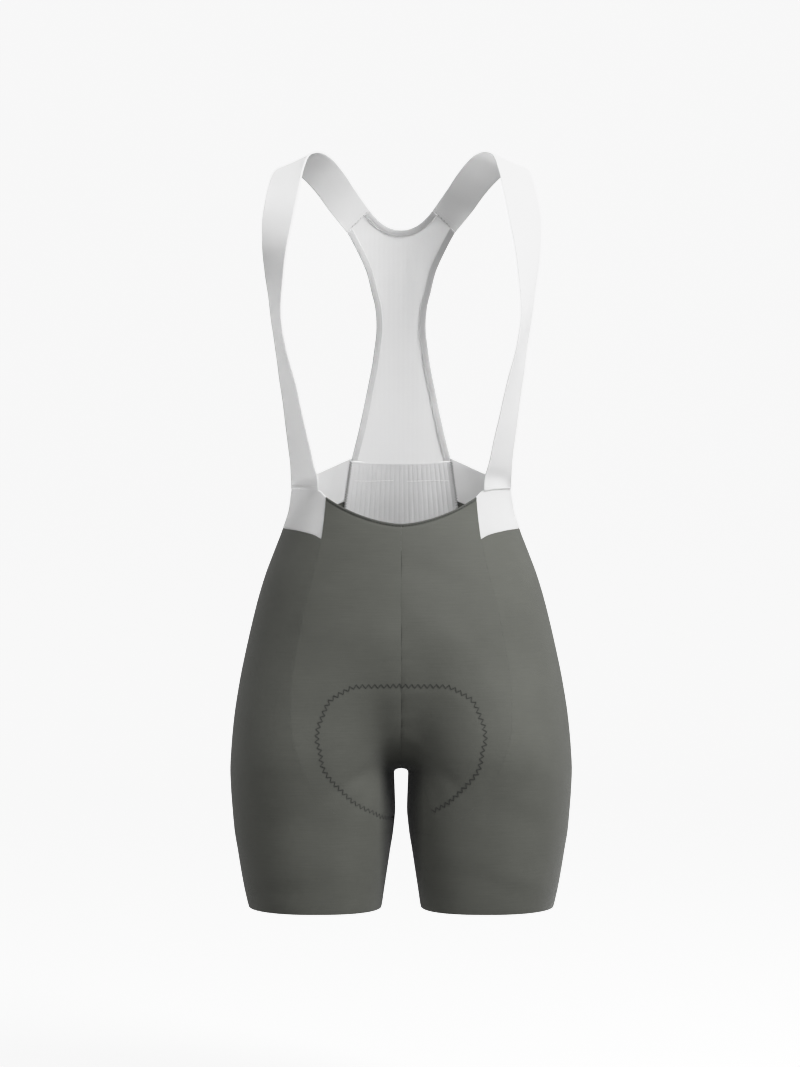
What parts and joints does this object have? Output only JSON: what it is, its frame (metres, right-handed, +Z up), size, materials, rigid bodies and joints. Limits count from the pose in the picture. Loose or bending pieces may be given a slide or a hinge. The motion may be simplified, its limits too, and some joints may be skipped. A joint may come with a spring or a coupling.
{
  "type": "cycling bib shorts",
  "caption": "Women's cycling bib shorts filled out as worn: dark stretch shorts, pale yokes and shoulder straps, ribbed lumbar panel and a mesh racerback.",
  "frame": {"origin": "midway between the tops of the two shoulder straps, where the wearer's shoulders hold the garment", "axes": "+Z up, +X to the viewer's right in the picture (the wearer's left), +Y to the wearer's back, so the front faces -Y"},
  "size_m": [0.367, 0.2335, 0.8116],
  "materials": {
    "shorts_cloth": "smooth matt stretch knit",
    "elastic_band": "smooth white elastic knit",
    "rib_knit": "ribbed white knit",
    "back_mesh": "fine white mesh knit",
    "binding_tape": "folded pale binding"
  },
  "bodies": {
    "root": {"front_left": "shorts_cloth", "front_right": "shorts_cloth", "side_left": "shorts_cloth", "side_right": "shorts_cloth", "back_left": "shorts_cloth", "back_right": "shorts_cloth", "yoke_left": "elastic_band", "yoke_right": "elastic_band", "strap_left": "elastic_band", "strap_right": "elastic_band", "lumbar_panel": "rib_knit", "back_panel": "back_mesh", "neck_binding": "binding_tape", "side_binding_left": "binding_tape", "side_binding_right": "binding_tape"}
  },
  "joints": []
}
